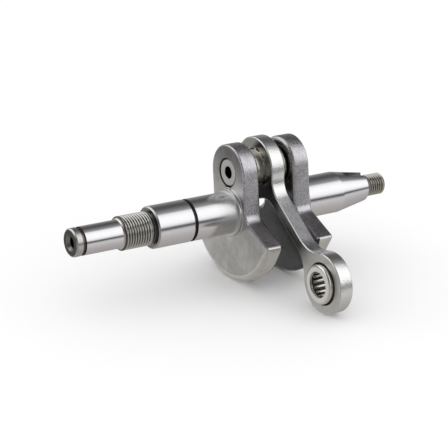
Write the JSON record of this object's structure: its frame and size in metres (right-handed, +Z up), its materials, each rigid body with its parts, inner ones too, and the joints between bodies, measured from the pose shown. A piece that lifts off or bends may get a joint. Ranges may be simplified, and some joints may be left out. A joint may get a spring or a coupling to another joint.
{
  "type": "crankshaft",
  "caption": "Built-up crankshaft of a small two-stroke engine: counterweighted webs pressed on a hollow pin, with a connecting rod running on caged needle bearings.",
  "frame": {"origin": "on the main axis, at the middle of the clutch-side main journal", "axes": "+X along the main axis from the clutch end to the flywheel end, +Z up, -Y the side that the rod swings to at rest"},
  "size_m": [0.1304, 0.0737, 0.0505],
  "materials": {
    "crank_steel": "forged grey webs with a light grain; ground journals, machined threads and satin faces",
    "crank_pin_steel": "hardened and ground, satin end faces",
    "rod_steel": "fine-grained forged grey, polished along its edges and its ends",
    "cage_steel": "satin pressed steel with a thin film of oil",
    "cup_steel": "smooth drawn steel, semi-bright",
    "needle_steel": "polished bearing steel"
  },
  "bodies": {
    "crank": {"clutch_side_crank_half": "crank_steel", "flywheel_side_crank_half": "crank_steel", "crank_pin": "crank_pin_steel"},
    "connecting_rod": {"connecting_rod": "rod_steel", "small_end_cup": "cup_steel"},
    "big_end_cage": {"big_end_cage": "cage_steel"},
    "small_end_cage": {"small_end_cage": "cage_steel"},
    "big_end_needle_01": {"big_end_needle_01": "needle_steel"},
    "big_end_needle_02": {"big_end_needle_02": "needle_steel"},
    "big_end_needle_03": {"big_end_needle_03": "needle_steel"},
    "big_end_needle_04": {"big_end_needle_04": "needle_steel"},
    "big_end_needle_05": {"big_end_needle_05": "needle_steel"},
    "big_end_needle_06": {"big_end_needle_06": "needle_steel"},
    "big_end_needle_07": {"big_end_needle_07": "needle_steel"},
    "big_end_needle_08": {"big_end_needle_08": "needle_steel"},
    "big_end_needle_09": {"big_end_needle_09": "needle_steel"},
    "big_end_needle_10": {"big_end_needle_10": "needle_steel"},
    "big_end_needle_11": {"big_end_needle_11": "needle_steel"},
    "big_end_needle_12": {"big_end_needle_12": "needle_steel"},
    "small_end_needle_01": {"small_end_needle_01": "needle_steel"},
    "small_end_needle_02": {"small_end_needle_02": "needle_steel"},
    "small_end_needle_03": {"small_end_needle_03": "needle_steel"},
    "small_end_needle_04": {"small_end_needle_04": "needle_steel"},
    "small_end_needle_05": {"small_end_needle_05": "needle_steel"},
    "small_end_needle_06": {"small_end_needle_06": "needle_steel"},
    "small_end_needle_07": {"small_end_needle_07": "needle_steel"},
    "small_end_needle_08": {"small_end_needle_08": "needle_steel"},
    "small_end_needle_09": {"small_end_needle_09": "needle_steel"},
    "small_end_needle_10": {"small_end_needle_10": "needle_steel"},
    "small_end_needle_11": {"small_end_needle_11": "needle_steel"},
    "small_end_needle_12": {"small_end_needle_12": "needle_steel"},
    "small_end_needle_13": {"small_end_needle_13": "needle_steel"},
    "small_end_needle_14": {"small_end_needle_14": "needle_steel"},
    "small_end_needle_15": {"small_end_needle_15": "needle_steel"},
    "small_end_needle_16": {"small_end_needle_16": "needle_steel"}
  },
  "joints": [
    {"name": "rod_swing", "type": "hinge", "parent": "crank", "child": "connecting_rod", "pos_m": [0.0235, 0.00214, 0.01409], "axis": [1, 0, 0], "continuous": true},
    {"name": "big_end_cage_roll", "type": "hinge", "parent": "crank", "child": "big_end_cage", "pos_m": [0.0235, 0.00214, 0.01409], "axis": [1, 0, 0], "continuous": true},
    {"name": "big_end_needle_01_spin", "type": "hinge", "parent": "big_end_cage", "child": "big_end_needle_01", "pos_m": [0.0235, -0.00004, 0.01968], "axis": [1, 0, 0], "continuous": true},
    {"name": "big_end_needle_02_spin", "type": "hinge", "parent": "big_end_cage", "child": "big_end_needle_02", "pos_m": [0.0235, -0.00254, 0.01784], "axis": [1, 0, 0], "continuous": true},
    {"name": "big_end_needle_03_spin", "type": "hinge", "parent": "big_end_cage", "child": "big_end_needle_03", "pos_m": [0.0235, -0.00379, 0.01499], "axis": [1, 0, 0], "continuous": true},
    {"name": "big_end_needle_04_spin", "type": "hinge", "parent": "big_end_cage", "child": "big_end_needle_04", "pos_m": [0.0235, -0.00345, 0.0119], "axis": [1, 0, 0], "continuous": true},
    {"name": "big_end_needle_05_spin", "type": "hinge", "parent": "big_end_cage", "child": "big_end_needle_05", "pos_m": [0.0235, -0.0016, 0.0094], "axis": [1, 0, 0], "continuous": true},
    {"name": "big_end_needle_06_spin", "type": "hinge", "parent": "big_end_cage", "child": "big_end_needle_06", "pos_m": [0.0235, 0.00124, 0.00816], "axis": [1, 0, 0], "continuous": true},
    {"name": "big_end_needle_07_spin", "type": "hinge", "parent": "big_end_cage", "child": "big_end_needle_07", "pos_m": [0.0235, 0.00433, 0.0085], "axis": [1, 0, 0], "continuous": true},
    {"name": "big_end_needle_08_spin", "type": "hinge", "parent": "big_end_cage", "child": "big_end_needle_08", "pos_m": [0.0235, 0.00683, 0.01034], "axis": [1, 0, 0], "continuous": true},
    {"name": "big_end_needle_09_spin", "type": "hinge", "parent": "big_end_cage", "child": "big_end_needle_09", "pos_m": [0.0235, 0.00807, 0.01319], "axis": [1, 0, 0], "continuous": true},
    {"name": "big_end_needle_10_spin", "type": "hinge", "parent": "big_end_cage", "child": "big_end_needle_10", "pos_m": [0.0235, 0.00773, 0.01627], "axis": [1, 0, 0], "continuous": true},
    {"name": "big_end_needle_11_spin", "type": "hinge", "parent": "big_end_cage", "child": "big_end_needle_11", "pos_m": [0.0235, 0.00589, 0.01877], "axis": [1, 0, 0], "continuous": true},
    {"name": "big_end_needle_12_spin", "type": "hinge", "parent": "big_end_cage", "child": "big_end_needle_12", "pos_m": [0.0235, 0.00305, 0.02002], "axis": [1, 0, 0], "continuous": true},
    {"name": "small_end_cage_roll", "type": "hinge", "parent": "connecting_rod", "child": "small_end_cage", "pos_m": [0.0235, -0.04129, -0.0145], "axis": [1, 0, 0], "continuous": true},
    {"name": "small_end_needle_01_spin", "type": "hinge", "parent": "small_end_cage", "child": "small_end_needle_01", "pos_m": [0.0235, -0.03826, -0.01003], "axis": [1, 0, 0], "continuous": true},
    {"name": "small_end_needle_02_spin", "type": "hinge", "parent": "small_end_cage", "child": "small_end_needle_02", "pos_m": [0.0235, -0.0402, -0.00921], "axis": [1, 0, 0], "continuous": true},
    {"name": "small_end_needle_03_spin", "type": "hinge", "parent": "small_end_cage", "child": "small_end_needle_03", "pos_m": [0.0235, -0.04231, -0.0092], "axis": [1, 0, 0], "continuous": true},
    {"name": "small_end_needle_04_spin", "type": "hinge", "parent": "small_end_cage", "child": "small_end_needle_04", "pos_m": [0.0235, -0.04426, -0.00999], "axis": [1, 0, 0], "continuous": true},
    {"name": "small_end_needle_05_spin", "type": "hinge", "parent": "small_end_cage", "child": "small_end_needle_05", "pos_m": [0.0235, -0.04576, -0.01147], "axis": [1, 0, 0], "continuous": true},
    {"name": "small_end_needle_06_spin", "type": "hinge", "parent": "small_end_cage", "child": "small_end_needle_06", "pos_m": [0.0235, -0.04658, -0.01341], "axis": [1, 0, 0], "continuous": true},
    {"name": "small_end_needle_07_spin", "type": "hinge", "parent": "small_end_cage", "child": "small_end_needle_07", "pos_m": [0.0235, -0.0466, -0.01552], "axis": [1, 0, 0], "continuous": true},
    {"name": "small_end_needle_08_spin", "type": "hinge", "parent": "small_end_cage", "child": "small_end_needle_08", "pos_m": [0.0235, -0.0458, -0.01747], "axis": [1, 0, 0], "continuous": true},
    {"name": "small_end_needle_09_spin", "type": "hinge", "parent": "small_end_cage", "child": "small_end_needle_09", "pos_m": [0.0235, -0.04432, -0.01897], "axis": [1, 0, 0], "continuous": true},
    {"name": "small_end_needle_10_spin", "type": "hinge", "parent": "small_end_cage", "child": "small_end_needle_10", "pos_m": [0.0235, -0.04238, -0.01979], "axis": [1, 0, 0], "continuous": true},
    {"name": "small_end_needle_11_spin", "type": "hinge", "parent": "small_end_cage", "child": "small_end_needle_11", "pos_m": [0.0235, -0.04028, -0.0198], "axis": [1, 0, 0], "continuous": true},
    {"name": "small_end_needle_12_spin", "type": "hinge", "parent": "small_end_cage", "child": "small_end_needle_12", "pos_m": [0.0235, -0.03832, -0.01901], "axis": [1, 0, 0], "continuous": true},
    {"name": "small_end_needle_13_spin", "type": "hinge", "parent": "small_end_cage", "child": "small_end_needle_13", "pos_m": [0.0235, -0.03682, -0.01753], "axis": [1, 0, 0], "continuous": true},
    {"name": "small_end_needle_14_spin", "type": "hinge", "parent": "small_end_cage", "child": "small_end_needle_14", "pos_m": [0.0235, -0.036, -0.01559], "axis": [1, 0, 0], "continuous": true},
    {"name": "small_end_needle_15_spin", "type": "hinge", "parent": "small_end_cage", "child": "small_end_needle_15", "pos_m": [0.0235, -0.03599, -0.01348], "axis": [1, 0, 0], "continuous": true},
    {"name": "small_end_needle_16_spin", "type": "hinge", "parent": "small_end_cage", "child": "small_end_needle_16", "pos_m": [0.0235, -0.03678, -0.01153], "axis": [1, 0, 0], "continuous": true}
  ],
  "couplings": [
    {"joint": "big_end_cage_roll", "follows": "rod_swing", "ratio": 0.58333},
    {"joint": "big_end_needle_01_spin", "follows": "rod_swing", "ratio": 2.9167},
    {"joint": "big_end_needle_02_spin", "follows": "rod_swing", "ratio": 2.9167},
    {"joint": "big_end_needle_03_spin", "follows": "rod_swing", "ratio": 2.9167},
    {"joint": "big_end_needle_04_spin", "follows": "rod_swing", "ratio": 2.9167},
    {"joint": "big_end_needle_05_spin", "follows": "rod_swing", "ratio": 2.9167},
    {"joint": "big_end_needle_06_spin", "follows": "rod_swing", "ratio": 2.9167},
    {"joint": "big_end_needle_07_spin", "follows": "rod_swing", "ratio": 2.9167},
    {"joint": "big_end_needle_08_spin", "follows": "rod_swing", "ratio": 2.9167},
    {"joint": "big_end_needle_09_spin", "follows": "rod_swing", "ratio": 2.9167},
    {"joint": "big_end_needle_10_spin", "follows": "rod_swing", "ratio": 2.9167},
    {"joint": "big_end_needle_11_spin", "follows": "rod_swing", "ratio": 2.9167},
    {"joint": "big_end_needle_12_spin", "follows": "rod_swing", "ratio": 2.9167},
    {"joint": "small_end_needle_01_spin", "follows": "small_end_cage_roll", "ratio": -7},
    {"joint": "small_end_needle_02_spin", "follows": "small_end_cage_roll", "ratio": -7},
    {"joint": "small_end_needle_03_spin", "follows": "small_end_cage_roll", "ratio": -7},
    {"joint": "small_end_needle_04_spin", "follows": "small_end_cage_roll", "ratio": -7},
    {"joint": "small_end_needle_05_spin", "follows": "small_end_cage_roll", "ratio": -7},
    {"joint": "small_end_needle_06_spin", "follows": "small_end_cage_roll", "ratio": -7},
    {"joint": "small_end_needle_07_spin", "follows": "small_end_cage_roll", "ratio": -7},
    {"joint": "small_end_needle_08_spin", "follows": "small_end_cage_roll", "ratio": -7},
    {"joint": "small_end_needle_09_spin", "follows": "small_end_cage_roll", "ratio": -7},
    {"joint": "small_end_needle_10_spin", "follows": "small_end_cage_roll", "ratio": -7},
    {"joint": "small_end_needle_11_spin", "follows": "small_end_cage_roll", "ratio": -7},
    {"joint": "small_end_needle_12_spin", "follows": "small_end_cage_roll", "ratio": -7},
    {"joint": "small_end_needle_13_spin", "follows": "small_end_cage_roll", "ratio": -7},
    {"joint": "small_end_needle_14_spin", "follows": "small_end_cage_roll", "ratio": -7},
    {"joint": "small_end_needle_15_spin", "follows": "small_end_cage_roll", "ratio": -7},
    {"joint": "small_end_needle_16_spin", "follows": "small_end_cage_roll", "ratio": -7}
  ]
}
